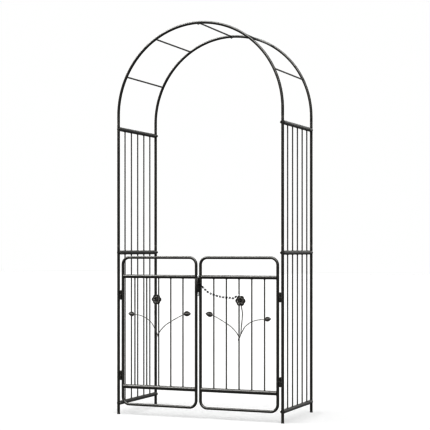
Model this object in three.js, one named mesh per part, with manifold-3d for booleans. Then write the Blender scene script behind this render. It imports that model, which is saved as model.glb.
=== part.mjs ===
// Garden arch with a two-leaf gate, in millimetres, +Z up.
// X runs across the passage, Y through it (the gate closes the front, -Y side), Z is height.
// The origin is the middle of the footprint, on the ground.
import * as THREE from "three";
import { mergeVertices } from "three/addons/utils/BufferGeometryUtils.js";
import Module from "manifold-3d";

// ---------- driving dimensions ----------
const HEIGHT = 2196.5; // ground to the top of the crown
const POST_X = 494; // post centre line from the middle of the passage
const PLANE_Y = 245; // hoop planes, in front of and behind the middle
const POST_R = 7; // 14 mm tube
const SPRING_Z = HEIGHT - POST_R - POST_X; // where the posts turn into the half-round crown
const GAP = 0.3; // clearance between touching pieces
const SPIGOT_R = 5.6; // reduced tube ends
const SOCKET_R = 6.0; // open tube ends that take them
const SPIGOT = 28; // how far a reduced end goes in
const SPLIT_Z = 955; // lower post to upper post
const LEG_Z = 1646; // upper post to crown arc
const CAP_R = 7.9; // foot caps are plugs with a flange a little wider than the post
const CAP_H = 5.5;
const PLUG_R = 5.4;
const PLUG_TOP = 24;

const BAR_R = 2.75; // 5.5 mm bar
const RAIL_R = 9.5; // 19 mm tube, the gate's upper rails
const SIDE_RAIL_R = 11; // 22 mm tube
const SIDE_BARS = [-164, -82, 0, 82, 164];
const SIDE_RAIL_BOTTOM_Z = 62;
const SIDE_RAIL_MID_Z = 917.5;
const SIDE_RAIL_TOP_Z = 1620;
const TAB_THICK = 2.5; // tabs at the side rails' ends
const TAB_HALF = 7;
const TAB_LAP = 16;
const RUNG_R = 3.75;
const RUNG_ANGLES = [-64, -32, 0, 32, 64]; // from the crown's top

const STILE_IN = 13; // meeting stile centre
const STILE_OUT = 466; // hinge stile centre
const FRAME_R = 7; // 14 mm tube
const FRAME_BOTTOM_Z = 59;
const FRAME_TOP_Z = 889.5;
const FRAME_CORNER = 40;
const GATE_RAIL_TOP_Z = 783;
const GATE_RAIL_LOW_Z = 160;
const GATE_RAIL_LOW_R = 11; // the lower rail is the thicker one, 22 mm tube
const BALUSTERS = [93, 167.5, 242, 316.5, 390.5];
const HOLE_R = 3.15;
const HOLE_DEPTH = 5.6;
const BAR_ENTRY = 5;

const HINGE_X = 479.75;
const HINGE_R = 6;
const HINGE_PIN_R = 3;
const HINGE_BORE_R = 3.4;
const HINGE_H = 53;
const HINGES = { upper: 650.5, lower: 194.5 }; // bottom of each hinge

const ROSE = [252.3, 654.4];
const ROSE_R = 27;
const FRONT_Y = -(PLANE_Y + BAR_R + GAP); // back face of what is fixed to the front of the bars

const LATCH_LOW = 700;
const LATCH_TOP = 777;
const SLEEVE_R = 5.7;
const SLEEVE_BORE_R = 4.85;
const PIN_R = 4.4;
const PIN_LOW = 678;
const PIN_TOP = 794;
const STUD_Z = 742;
const STUD_R = 2;
const STUD_REACH = 14;
const CHAIN_R = 3.6;

const Y_SHIFT = 3.75; // puts the origin in the middle of the whole depth

// ---------- finishes ----------
const steel = () =>
  new THREE.MeshStandardMaterial({ color: 0x1d1e20, roughness: 0.45, metalness: 0.4 });
const zinc = () =>
  new THREE.MeshStandardMaterial({ color: 0xa9abab, roughness: 0.38, metalness: 0.9 });
const plastic = () =>
  new THREE.MeshStandardMaterial({ color: 0x151515, roughness: 0.6, metalness: 0 });

// ---------- helpers ----------
const wasm = await Module();
wasm.setup();
const V = (x, y, z) => new THREE.Vector3(x, y, z);

// A path that passes through given points, one section at each point.
class KnotCurve extends THREE.Curve {
  constructor(points, closed = false, lastTangent = null) {
    super();
    this.points = points;
    this.loop = closed;
    this.lastTangent = lastTangent;
    this.arcLengthDivisions = 1;
  }
  getPoint(t, target = new THREE.Vector3()) {
    const n = this.points.length;
    const s = t * (this.loop ? n : n - 1);
    const i = Math.min(Math.floor(s + 1e-9), this.loop ? n : n - 2);
    const a = this.points[i % n];
    const b = this.points[(i + 1) % n];
    return target.copy(a).lerp(b, Math.max(0, s - i));
  }
  getPointAt(u, target) {
    return this.getPoint(u, target);
  }
  getTangentAt(u, target = new THREE.Vector3()) {
    const n = this.points.length;
    const i = Math.round(u * (this.loop ? n : n - 1));
    if (this.lastTangent && i === n - 1) return target.copy(this.lastTangent);
    const at = (k) => this.points[this.loop ? (k + n) % n : Math.min(Math.max(k, 0), n - 1)];
    const before = at(i).clone().sub(at(i - 1));
    const after = at(i + 1).clone().sub(at(i));
    if (before.lengthSq() > 0) before.normalize();
    if (after.lengthSq() > 0) after.normalize();
    return target.copy(before).add(after).normalize();
  }
}

function polygon(radius, sides) {
  const pts = [];
  for (let i = 0; i < sides; i++) {
    const a = (2 * Math.PI * i) / sides;
    pts.push(new THREE.Vector2(radius * Math.cos(a), radius * Math.sin(a)));
  }
  return new THREE.Shape(pts);
}

// A round section swept through points.
function sweep(points, radius, sides, lastTangent = null) {
  return new THREE.ExtrudeGeometry(polygon(radius, sides), {
    steps: points.length - 1,
    bevelEnabled: false,
    extrudePath: new KnotCurve(points, false, lastTangent),
  });
}

function rod(a, b, radius, sides = 10) {
  const d = b.clone().sub(a);
  const g = new THREE.CylinderGeometry(radius, radius, d.length(), sides);
  g.applyQuaternion(new THREE.Quaternion().setFromUnitVectors(V(0, 1, 0), d.clone().normalize()));
  return g.translate((a.x + b.x) / 2, (a.y + b.y) / 2, (a.z + b.z) / 2);
}

// A body of revolution about a vertical axis through (x, y); its profile is [radius, z] pairs.
function turned(profile, x, y, sides = 14) {
  const g = new THREE.LatheGeometry(
    profile.map(([r, z]) => new THREE.Vector2(r, z)),
    sides,
  );
  g.rotateX(Math.PI / 2);
  return g.translate(x, y, 0);
}

function block(x0, x1, y0, y1, z0, z1) {
  return new THREE.BoxGeometry(x1 - x0, y1 - y0, z1 - z0).translate(
    (x0 + x1) / 2,
    (y0 + y1) / 2,
    (z0 + z1) / 2,
  );
}

// A flat outline in the gate's plane, given a thickness towards the front.
function plate(shape, x, z, turn, back, thick) {
  const g = new THREE.ExtrudeGeometry(shape, { depth: thick, bevelEnabled: false, curveSegments: 5 });
  g.rotateX(Math.PI / 2);
  g.rotateY(-turn);
  return g.translate(x, back, z);
}

function solid(geometry) {
  const g = geometry.clone();
  g.deleteAttribute("normal");
  g.deleteAttribute("uv");
  const merged = mergeVertices(g, 1e-4);
  const tris = new Uint32Array(merged.index.array);
  const make = () =>
    new wasm.Manifold(
      new wasm.Mesh({
        numProp: 3,
        vertProperties: new Float32Array(merged.attributes.position.array),
        triVerts: tris,
      }),
    );
  let made = make();
  if (made.volume() < 0) {
    for (let i = 0; i < tris.length; i += 3) [tris[i + 1], tris[i + 2]] = [tris[i + 2], tris[i + 1]];
    made = make();
  }
  return made;
}

function join(...geometries) {
  return geometries.map(solid).reduce((a, b) => a.add(b));
}

function cut(base, ...geometries) {
  return geometries.map(solid).reduce((a, b) => a.subtract(b), base);
}

function geometryOf(made) {
  const m = made.getMesh();
  const g = new THREE.BufferGeometry();
  g.setAttribute("position", new THREE.BufferAttribute(new Float32Array(m.vertProperties), 3));
  g.setIndex(new THREE.BufferAttribute(new Uint32Array(m.triVerts), 1));
  g.computeVertexNormals();
  return g;
}

const model = new THREE.Group();
model.position.y = Y_SHIFT;

function add(group, name, made, material) {
  const geometry = geometryOf(made.isBufferGeometry ? solid(made) : made);
  const mesh = new THREE.Mesh(geometry, material);
  mesh.name = name;
  group.add(mesh);
  return mesh;
}

const arch = new THREE.Group();
const leaves = { left: new THREE.Group(), right: new THREE.Group() };
model.add(arch, leaves.left, leaves.right);

const SIDES = [
  ["left", -1],
  ["right", 1],
];
const ENDS = [
  ["front", -1],
  ["back", 1],
];

// ---------- posts, foot caps and crown ----------
for (const [end, ey] of ENDS) {
  const y = ey * PLANE_Y;
  for (const [side, sx] of SIDES) {
    const x = sx * POST_X;
    add(
      arch,
      `foot_cap_${end}_${side}`,
      turned(
        [
          [0, 0],
          [CAP_R, 0],
          [CAP_R, CAP_H - 1],
          [POST_R, CAP_H],
          [PLUG_R, CAP_H],
          [PLUG_R, PLUG_TOP - 1.5],
          [PLUG_R - 1, PLUG_TOP],
          [0, PLUG_TOP],
        ],
        x,
        y,
        16,
      ),
      plastic(),
    );
    add(
      arch,
      `post_lower_${end}_${side}`,
      turned(
        [
          [0, PLUG_TOP + GAP],
          [PLUG_R + GAP, PLUG_TOP + GAP],
          [PLUG_R + GAP, CAP_H + GAP],
          [POST_R, CAP_H + GAP],
          [POST_R, SPLIT_Z],
          [SPIGOT_R, SPLIT_Z],
          [SPIGOT_R, SPLIT_Z + SPIGOT],
          [0, SPLIT_Z + SPIGOT],
        ],
        x,
        y,
      ),
      steel(),
    );
    add(
      arch,
      `post_upper_${end}_${side}`,
      turned(
        [
          [0, SPLIT_Z + SPIGOT + 1],
          [SOCKET_R, SPLIT_Z + SPIGOT + 1],
          [SOCKET_R, SPLIT_Z + GAP],
          [POST_R, SPLIT_Z + GAP],
          [POST_R, LEG_Z],
          [SPIGOT_R, LEG_Z],
          [SPIGOT_R, LEG_Z + SPIGOT],
          [0, LEG_Z + SPIGOT],
        ],
        x,
        y,
      ),
      steel(),
    );
  }

  // The two arcs of a hoop meet at the top: the left one's reduced end goes into the right one.
  const onHoop = (a) =>
    V(POST_X * Math.sin((a * Math.PI) / 180), y, SPRING_Z + POST_X * Math.cos((a * Math.PI) / 180));
  const seam = 1.62; // degrees left of the top
  const gapAngle = (GAP / POST_X) * (180 / Math.PI);
  const arcPoints = (from, to, n) =>
    Array.from({ length: n + 1 }, (_, i) => onHoop(from + ((to - from) * i) / n));
  const quarter = arcPoints(90, 6, 14);
  const seamTangent = V(Math.cos((seam * Math.PI) / 180), 0, Math.sin((seam * Math.PI) / 180));
  const legSocket = (x) => rod(V(x, y, LEG_Z - 5), V(x, y, LEG_Z + SPIGOT + 1), SOCKET_R, 14);
  const boltHole = rod(V(0, y, HEIGHT - 30), V(0, y, HEIGHT + 10), 3.1, 10);

  const left = join(
    sweep(
      [V(-POST_X, y, LEG_Z + GAP), ...quarter.map((p) => V(-p.x, p.y, p.z)), ...arcPoints(-3, -seam, 1)],
      POST_R,
      14,
      seamTangent,
    ),
    sweep(arcPoints(-seam - 0.5, seam, 3), SPIGOT_R, 14),
  );
  add(arch, `crown_arc_${end}_left`, cut(left, legSocket(-POST_X), boltHole), steel());

  const right = join(
    sweep(
      [V(POST_X, y, LEG_Z + GAP), ...quarter, onHoop(3), onHoop(0.7), onHoop(-0.7), onHoop(-seam + gapAngle)],
      POST_R,
      14,
      seamTangent.clone().negate(),
    ),
  );
  add(
    arch,
    `crown_arc_${end}_right`,
    cut(
      right,
      legSocket(POST_X),
      sweep(arcPoints(-seam - 1, seam + 0.2, 4), SOCKET_R, 14),
      boltHole,
    ),
    steel(),
  );

  // Bolt through the seam at the top, its head under the hoop.
  add(
    arch,
    `apex_bolt_${end}`,
    turned(
      [
        [0, HEIGHT - 2 * POST_R - 4.6],
        [4.4, HEIGHT - 2 * POST_R - 4.6],
        [5, HEIGHT - 2 * POST_R - 3.6],
        [5, HEIGHT - 2 * POST_R - GAP],
        [2.7, HEIGHT - 2 * POST_R - GAP],
        [2.7, HEIGHT - 1.2],
        [0, HEIGHT - 1.2],
      ],
      0,
      y,
      12,
    ),
    zinc(),
  );
}

RUNG_ANGLES.forEach((a, i) => {
  const x = POST_X * Math.sin((a * Math.PI) / 180);
  const z = SPRING_Z + POST_X * Math.cos((a * Math.PI) / 180);
  const reach = PLANE_Y - POST_R - GAP;
  add(arch, `crown_rung_${i + 1}`, rod(V(x, -reach, z), V(x, reach, z), RUNG_R, 12), steel());
});

// ---------- side panels ----------
for (const [side, sx] of SIDES) {
  const x = sx * POST_X;
  const reach = PLANE_Y - POST_R - GAP;
  // Each rail end carries a round-ended tab that laps the post on the passage side.
  const tabFace = sx * (POST_X - POST_R - GAP);
  const tabBack = tabFace - sx * TAB_THICK;
  const tab = (z, ey) => {
    const [x0, x1] = [Math.min(tabFace, tabBack), Math.max(tabFace, tabBack)];
    const [y0, y1] = [ey * (reach - TAB_LAP), ey * PLANE_Y];
    return [
      block(x0, x1, Math.min(y0, y1), Math.max(y0, y1), z - TAB_HALF, z + TAB_HALF),
      rod(V(x0, y1, z), V(x1, y1, z), TAB_HALF, 20),
    ];
  };
  const rail = (z) => [rod(V(x, -reach, z), V(x, reach, z), SIDE_RAIL_R, 14), ...tab(z, -1), ...tab(z, 1)];
  const bars = (z0, z1) => SIDE_BARS.map((y) => rod(V(x, y, z0), V(x, y, z1), BAR_R, 8));
  add(
    arch,
    `side_panel_lower_${side}`,
    join(...rail(SIDE_RAIL_BOTTOM_Z), ...rail(SIDE_RAIL_MID_Z), ...bars(SIDE_RAIL_BOTTOM_Z, SIDE_RAIL_MID_Z)),
    steel(),
  );
  add(
    arch,
    `side_panel_upper_${side}`,
    join(...rail(SIDE_RAIL_TOP_Z), ...bars(SIDE_RAIL_MID_Z + SIDE_RAIL_R + GAP, SIDE_RAIL_TOP_Z)),
    steel(),
  );
}

// ---------- hinges ----------
for (const [side, sx] of SIDES) {
  for (const [level, z0] of Object.entries(HINGES)) {
    const x = sx * HINGE_X;
    const mid = z0 + HINGE_H / 2;
    const toPost = sx * (POST_X - POST_R - GAP);
    const toStile = sx * (STILE_OUT + FRAME_R + GAP);
    const web = (a, b, low, high) =>
      block(Math.min(a, b), Math.max(a, b), -PLANE_Y - 3, -PLANE_Y + 3, low, high);
    add(
      arch,
      `hinge_pintle_${level}_${side}`,
      join(
        turned(
          [
            [0, z0],
            [HINGE_R, z0],
            [HINGE_R, mid - GAP],
            [HINGE_PIN_R, mid - GAP],
            [HINGE_PIN_R, z0 + HINGE_H - 6.5],
            [HINGE_PIN_R - 1, z0 + HINGE_H - 5],
            [0, z0 + HINGE_H - 5],
          ],
          x,
          -PLANE_Y,
        ),
        web(x + sx * 4.2, toPost, z0 + 3, mid - 4),
      ),
      steel(),
    );
    add(
      leaves[side],
      `hinge_knuckle_${level}_${side}`,
      join(
        turned(
          [
            [0, z0 + HINGE_H - 4],
            [HINGE_BORE_R, z0 + HINGE_H - 4],
            [HINGE_BORE_R, mid],
            [HINGE_R, mid],
            [HINGE_R, z0 + HINGE_H],
            [0, z0 + HINGE_H],
          ],
          x,
          -PLANE_Y,
        ),
        web(x - sx * 4.4, toStile, mid + 4, z0 + HINGE_H - 3),
      ),
      steel(),
    );
  }
}

// ---------- gate leaves ----------
const leafShape = (long, wide) => {
  const s = new THREE.Shape();
  s.moveTo(-long / 2, 0);
  s.quadraticCurveTo(-long * 0.22, wide * 0.62, long * 0.1, wide * 0.47);
  s.quadraticCurveTo(long * 0.34, wide * 0.34, long / 2, 0);
  s.quadraticCurveTo(long * 0.34, -wide * 0.34, long * 0.1, -wide * 0.47);
  s.quadraticCurveTo(-long * 0.22, -wide * 0.62, -long / 2, 0);
  return s;
};

for (const [side, sx] of SIDES) {
  const group = leaves[side];
  const y = -PLANE_Y;

  // Frame: one tube bent round into a loop with rounded corners.
  const loop = [];
  const corners = [
    [STILE_OUT - FRAME_CORNER, FRAME_TOP_Z - FRAME_CORNER, 0],
    [STILE_IN + FRAME_CORNER, FRAME_TOP_Z - FRAME_CORNER, 90],
    [STILE_IN + FRAME_CORNER, FRAME_BOTTOM_Z + FRAME_CORNER, 180],
    [STILE_OUT - FRAME_CORNER, FRAME_BOTTOM_Z + FRAME_CORNER, 270],
  ];
  for (const [cx, cz, start] of corners) {
    for (let i = 0; i <= 6; i++) {
      const a = ((start + 15 * i) * Math.PI) / 180;
      loop.push(V(sx * (cx + FRAME_CORNER * Math.cos(a)), y, cz + FRAME_CORNER * Math.sin(a)));
    }
  }
  add(
    group,
    `gate_frame_${side}`,
    new THREE.TubeGeometry(new KnotCurve(loop, true), loop.length, FRAME_R, 12, true),
    steel(),
  );

  // Rails with a punched hole for each bar.
  const x0 = sx * (STILE_IN + FRAME_R + GAP);
  const x1 = sx * (STILE_OUT - FRAME_R - GAP);
  const holes = (low, high) => BALUSTERS.map((b) => rod(V(sx * b, y, low), V(sx * b, y, high), HOLE_R, 10));
  add(
    group,
    `gate_rail_upper_${side}`,
    cut(
      solid(rod(V(x0, y, GATE_RAIL_TOP_Z), V(x1, y, GATE_RAIL_TOP_Z), RAIL_R, 14)),
      ...holes(GATE_RAIL_TOP_Z - RAIL_R - 5, GATE_RAIL_TOP_Z - RAIL_R + HOLE_DEPTH),
    ),
    steel(),
  );
  add(
    group,
    `gate_rail_lower_${side}`,
    cut(
      solid(rod(V(x0, y, GATE_RAIL_LOW_Z), V(x1, y, GATE_RAIL_LOW_Z), GATE_RAIL_LOW_R, 14)),
      ...holes(GATE_RAIL_LOW_Z + GATE_RAIL_LOW_R - HOLE_DEPTH, GATE_RAIL_LOW_Z + GATE_RAIL_LOW_R + 5),
    ),
    steel(),
  );
  BALUSTERS.forEach((b, i) => {
    add(
      group,
      `baluster_${side}_${i + 1}`,
      rod(
        V(sx * b, y, GATE_RAIL_LOW_Z + GATE_RAIL_LOW_R - BAR_ENTRY),
        V(sx * b, y, GATE_RAIL_TOP_Z - RAIL_R + BAR_ENTRY),
        BAR_R,
        8,
      ),
      steel(),
    );
  });

  // Rose head: a stamped disc with six lobes and a raised heart.
  const outline = [];
  for (let i = 0; i < 24; i++) {
    const a = (2 * Math.PI * i) / 24;
    const r = ROSE_R * (0.94 + 0.06 * Math.cos(6 * a));
    outline.push(new THREE.Vector2(r * Math.cos(a), r * Math.sin(a)));
  }
  const heart = (r, back, front) => rod(V(sx * ROSE[0], back, ROSE[1]), V(sx * ROSE[0], front, ROSE[1]), r, 14);
  add(
    group,
    `rose_${side}`,
    join(
      plate(new THREE.Shape(outline), sx * ROSE[0], ROSE[1], 0, FRONT_Y, 6),
      heart(19, FRONT_Y - 5, FRONT_Y - 9.5),
      heart(11, FRONT_Y - 9, FRONT_Y - 13),
    ),
    steel(),
  );

  // Spray: wire stems with two flat leaves, fixed to the front of the bars.
  const stemY = FRONT_Y - 2.05;
  const outerZ = side === "right" ? 558.3 : 570.4;
  const rise = outerZ - 558.3;
  const curve = (pts, n) =>
    new THREE.CatmullRomCurve3(pts.map(([x, z]) => V(sx * x, stemY, z))).getPoints(n);
  add(
    group,
    `spray_${side}`,
    join(
      sweep(
        curve(
          [
            [239, 438.7],
            [253.5, 472.3],
            [258, 515],
            [264, 583],
            [257, 617],
            [253.5, ROSE[1] - ROSE_R - 1.5],
          ],
          14,
        ),
        2,
        8,
      ),
      sweep(
        curve(
          [
            [247, 457],
            [262, 487],
            [282, 517 + rise * 0.3],
            [318, 542 + rise * 0.6],
            [357, 553 + rise * 0.9],
            [398, outerZ - 1.5],
          ],
          12,
        ),
        1.8,
        8,
      ),
      sweep(
        curve(
          [
            [246, 455],
            [228, 482],
            [196, 513],
            [150, 541],
            [108, 563],
            [80, 575],
          ],
          12,
        ),
        1.8,
        8,
      ),
      plate(leafShape(42, 27), sx > 0 ? 67.5 : -65.5, 578.6, sx > 0 ? Math.PI - 0.18 : 0.02, FRONT_Y, 2.4),
      plate(leafShape(36, 24), sx * 410.3, outerZ, sx > 0 ? 0.12 : Math.PI - 0.12, FRONT_Y, 2.4),
    ),
    steel(),
  );
}

// ---------- latch ----------
const stud = (r) => V(r * Math.SQRT1_2, -PLANE_Y - r * Math.SQRT1_2, 0);
const slot = (() => {
  const g = new THREE.BoxGeometry(9, 4.9, LATCH_TOP + 5 - (STUD_Z - STUD_R - GAP));
  g.translate(6.8, 0, (LATCH_TOP + 5 + STUD_Z - STUD_R - GAP) / 2);
  g.rotateZ(-Math.PI / 4);
  return g.translate(0, -PLANE_Y, 0);
})();
add(
  leaves.right,
  "latch_sleeve",
  cut(
    join(
      rod(V(0, -PLANE_Y, LATCH_LOW), V(0, -PLANE_Y, LATCH_TOP), SLEEVE_R, 20),
      block(-5.6, 0.9, -PLANE_Y - 12.5, -PLANE_Y - 2, LATCH_LOW, LATCH_TOP),
    ),
    rod(V(0, -PLANE_Y, LATCH_LOW - 5), V(0, -PLANE_Y, LATCH_TOP + 5), SLEEVE_BORE_R, 20),
    slot,
  ),
  steel(),
);
add(
  leaves.left,
  "latch_keeper",
  block(-13.6, -7, -PLANE_Y - 12.5, -PLANE_Y - FRAME_R - GAP, LATCH_LOW + 2, LATCH_TOP - 2),
  steel(),
);

// Drop pin with a stud and an eye that stand out through the sleeve's slot.
const eye = new THREE.TorusGeometry(3.6, 1.3, 8, 14).rotateX(Math.PI / 2);
const eyeAt = stud(STUD_REACH + 3.2);
add(
  leaves.right,
  "latch_pin",
  join(
    turned(
      [
        [0, PIN_LOW],
        [PIN_R - 1.2, PIN_LOW],
        [PIN_R, PIN_LOW + 2],
        [PIN_R, PIN_TOP - 1],
        [PIN_R - 1, PIN_TOP],
        [0, PIN_TOP],
      ],
      0,
      -PLANE_Y,
      16,
    ),
    rod(stud(2).setZ(STUD_Z), stud(STUD_REACH).setZ(STUD_Z), STUD_R, 10),
    eye.translate(eyeAt.x, eyeAt.y, STUD_Z),
  ),
  zinc(),
);

// Chain from the pin's eye to a ring on the third bar, as one round solid of the links' width.
const CHAIN = [
  [22.8, -258.8, 737],
  [31, -258.9, 728.8],
  [44, -258.6, 716],
  [60, -258, 702.2],
  [75, -257.4, 693.4],
  [89, -256.8, 687.6],
  [108, -256, 682],
  [126, -255, 677.6],
  [147, -254, 673.6],
  [171, -253.4, 671.4],
  [189, -253.2, 670.6],
  [203, -253.1, 669.6],
  [213, -252.8, 670.6],
  [221.5, -252.1, 675.2],
  [229.5, -251, 682],
].map((p) => V(...p));
add(leaves.right, "latch_chain", sweep(CHAIN, CHAIN_R, 8), zinc());
add(
  leaves.right,
  "chain_ring",
  new THREE.TorusGeometry(5.1, 1.3, 8, 16).translate(BALUSTERS[2], -PLANE_Y, 687),
  zinc(),
);

export default model;
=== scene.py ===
# Looks of the garden arch with its two-leaf gate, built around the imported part.
# Lengths below are millimetres in the arch's own frame, with Y measured from the
# middle between the two hoops; Shape.build turns them into metres.
import math
import random

import bpy
import numpy as np
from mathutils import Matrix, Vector


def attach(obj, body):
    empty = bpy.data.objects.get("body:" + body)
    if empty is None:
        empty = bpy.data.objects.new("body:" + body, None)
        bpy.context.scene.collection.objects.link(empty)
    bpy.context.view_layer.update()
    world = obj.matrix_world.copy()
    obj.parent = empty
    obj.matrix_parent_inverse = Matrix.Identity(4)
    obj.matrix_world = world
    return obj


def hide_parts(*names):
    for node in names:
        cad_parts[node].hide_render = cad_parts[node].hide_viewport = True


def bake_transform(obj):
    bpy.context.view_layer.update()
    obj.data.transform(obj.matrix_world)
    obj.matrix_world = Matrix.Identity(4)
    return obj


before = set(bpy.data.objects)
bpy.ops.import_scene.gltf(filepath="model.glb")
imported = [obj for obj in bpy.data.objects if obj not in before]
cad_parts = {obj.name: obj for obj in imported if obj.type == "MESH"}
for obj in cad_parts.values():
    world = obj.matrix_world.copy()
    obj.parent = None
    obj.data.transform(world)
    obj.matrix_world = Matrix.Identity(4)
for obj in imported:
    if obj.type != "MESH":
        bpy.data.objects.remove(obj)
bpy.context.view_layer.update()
scene = bpy.context.scene

# ---------------------------------------------------------------- sizes
Y_SHIFT = 3.75
HEIGHT, POST_X, PLANE_Y, POST_R = 2196.5, 494.0, 245.0, 7.0
SPRING_Z = HEIGHT - POST_R - POST_X
SPIGOT_R = 5.6
SPLIT_Z, LEG_Z = 955.0, 1646.0
BAR_R, RAIL_R, SIDE_RAIL_R = 2.75, 9.5, 11.0
SIDE_BARS = (-164.0, -82.0, 0.0, 82.0, 164.0)
SIDE_RAILS = {"bottom": 62.0, "mid": 917.5, "top": 1620.0}
RUNG_R = 3.75
RUNG_ANGLES = (-64.0, -32.0, 0.0, 32.0, 64.0)
STILE_IN, STILE_OUT, FRAME_R = 13.0, 466.0, 7.0
FRAME_BOTTOM_Z, FRAME_TOP_Z, FRAME_CORNER = 59.0, 889.5, 40.0
RAIL_TOP_Z, RAIL_LOW_Z, LOW_R = 783.0, 160.0, 11.0
BALUSTERS = (93.0, 167.5, 242.0, 316.5, 390.5)
HINGE_X, HINGE_R, HINGE_H = 479.75, 6.0, 53.0
HINGES = {"upper": 650.5, "lower": 194.5}
ROSE = (252.3, 654.4)
FRONT_Y = -(PLANE_Y + BAR_R + 0.3)
LATCH_LOW, LATCH_TOP = 700.0, 777.0
PIN_LOW, PIN_TOP, STUD_Z = 678.0, 794.0, 742.0

# ---------------------------------------------------------------- light levels
FLOOR_TONE, FLOOR_GLOW = 0.0705, 0.57
BOX, WALL, HORIZON, KEY, STRIP = 13.5, 1.5, 0.44, 34.0, 1.7
VIEW_GAMMA = 0.47

SIDES = (("left", -1.0), ("right", 1.0))
ENDS = (("front", -1.0), ("back", 1.0))


# ---------------------------------------------------------------- mesh building
def vec(*p):
    return np.array(p, float)


def unit(v):
    v = np.asarray(v, float)
    return v / np.linalg.norm(v)


def basis(d):
    """Two unit vectors across d, so that u, v, d are right-handed."""
    d = unit(d)
    a = vec(0, 0, 1) if abs(d[2]) < 0.9 else vec(1, 0, 0)
    u = unit(np.cross(a, d))
    return u, np.cross(d, u)


class Shape:
    """Collects closed shells with a rub value at each point, 0 whole coat to 1 rubbed; on the drop pin, the leaves and
    the rose it also carries painted shade and painted highlight.
    """

    def __init__(self):
        self.points, self.faces, self.wear, self.count = [], [], [], 0

    def add(self, points, faces, wear=0.0):
        points = np.asarray(points, float).reshape(-1, 3)
        self.points.append(points)
        self.wear.append(np.broadcast_to(np.asarray(wear, float), (len(points),)).copy())
        self.faces += [tuple(self.count + i for i in f) for f in faces]
        self.count += len(points)
        return self

    def rings(self, rings, wear=None, closed=False, cap=True):
        """Skins rings of equal length, given in order, each counter-clockwise seen from ahead."""
        rings = np.asarray(rings, float)
        n, m = rings.shape[:2]
        points = rings.reshape(-1, 3)
        faces = []
        for i in range(n if closed else n - 1):
            a, b = i * m, ((i + 1) % n) * m
            for j in range(m):
                k = (j + 1) % m
                faces.append((a + j, a + k, b + k, b + j))
        w = np.zeros(n) if wear is None else np.asarray(wear, float)
        per_point = np.repeat(w, m)
        if cap and not closed:
            points = np.concatenate([points, rings[0].mean(0)[None], rings[-1].mean(0)[None]])
            per_point = np.concatenate([per_point, [w[0], w[-1]]])
            first, last, base = n * m, n * m + 1, (n - 1) * m
            for j in range(m):
                k = (j + 1) % m
                faces.append((first, k, j))
                faces.append((last, base + j, base + k))
        return self.add(points, faces, per_point)

    def tube(self, path, radius, sides=24, closed=False, wear=None, flat=None):
        """A round section along path. radius is one number or one for each point; flat squeezes the section to (across, up) shares."""
        path = np.asarray(path, float)
        n = len(path)
        radius = np.broadcast_to(np.asarray(radius, float), (n,))
        if closed:
            tangents = np.roll(path, -1, 0) - np.roll(path, 1, 0)
        else:
            seg = np.diff(path, axis=0)
            seg = seg / np.maximum(np.linalg.norm(seg, axis=1, keepdims=True), 1e-12)
            tangents = np.concatenate([seg[:1], seg[:-1] + seg[1:], seg[-1:]])
        tangents = tangents / np.linalg.norm(tangents, axis=1, keepdims=True)
        u, v = basis(tangents[0])
        a = np.arange(sides) * 2 * math.pi / sides
        rings = []
        for i in range(n):
            t = tangents[i]
            u = unit(u - t * (u @ t))
            v = np.cross(t, u)
            fu, fv = (1.0, 1.0) if flat is None else flat
            rings.append(
                path[i] + radius[i] * (np.cos(a)[:, None] * u * fu + np.sin(a)[:, None] * v * fv)
            )
        return self.rings(rings, wear, closed)

    def lathe(self, profile, origin=(0, 0, 0), axis=(0, 0, 1), seg=32, wear=None):
        """profile is [(radius, height)] from one point on the axis to another."""
        u, v = basis(axis)
        d = unit(axis)
        a = np.arange(seg) * 2 * math.pi / seg
        circle = np.cos(a)[:, None] * u + np.sin(a)[:, None] * v
        rings = [np.asarray(origin, float) + max(r, 1e-4) * circle + h * d for r, h in profile]
        return self.rings(rings, wear)

    def box(self, low, high, bevel=0.5, wear=0.5):
        """A block with rounded edges, its rims rubbed."""
        low, high = np.minimum(low, high), np.maximum(low, high)
        b = min(bevel, float((high - low).min()) * 0.45)
        steps = [(b, 0.0), (b * 0.29, b * 0.29), (0.0, b)]
        rings, w = [], []
        for inset, z in steps:
            rings.append(self._rect(low, high, inset, low[2] + z, b))
            w.append(wear)
        for inset, z in reversed(steps):
            rings.append(self._rect(low, high, inset, high[2] - z, b))
            w.append(wear)
        return self.rings(rings, w)

    @staticmethod
    def _rect(low, high, inset, z, corner):
        pts = []
        x0, x1, y0, y1 = low[0] + inset, high[0] - inset, low[1] + inset, high[1] - inset
        r = corner
        for cx, cy, start in ((x1 - r, y1 - r, 0), (x0 + r, y1 - r, 90), (x0 + r, y0 + r, 180), (x1 - r, y0 + r, 270)):
            for k in range(4):
                t = math.radians(start + 30 * k)
                pts.append((cx + r * math.cos(t), cy + r * math.sin(t), z))
        return np.array(pts)

    def torus(self, centre, normal, ring, wire, turns=28, sides=12, wear=0.0, stretch=(1.0, 1.0)):
        u, v = basis(normal)
        a = np.arange(turns) * 2 * math.pi / turns
        path = (
            np.asarray(centre, float)
            + ring * stretch[0] * np.cos(a)[:, None] * u
            + ring * stretch[1] * np.sin(a)[:, None] * v
        )
        return self.tube(path, wire, sides, closed=True, wear=np.full(turns, wear))

    def build(self, name, body, material, stands_for=(), slot="black_coat", angle=38.0, rides=True):
        points = np.concatenate(self.points) * 0.001
        points[:, 1] += Y_SHIFT * 0.001
        mesh = bpy.data.meshes.new(name)
        mesh.from_pydata(points.tolist(), [], self.faces)
        mesh.update()
        held = mesh.attributes.new("wear", "FLOAT", "POINT")
        held.data.foreach_set("value", np.concatenate(self.wear).astype(np.float32))
        mesh.polygons.foreach_set("use_smooth", np.ones(len(mesh.polygons), bool))
        mesh.set_sharp_from_angle(angle=math.radians(angle))
        mesh.materials.append(material)
        made = bpy.data.objects.new(name, mesh)
        scene.collection.objects.link(made)
        if rides:
            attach(made, body)
        if stands_for:
            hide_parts(*stands_for)
        return made


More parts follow.
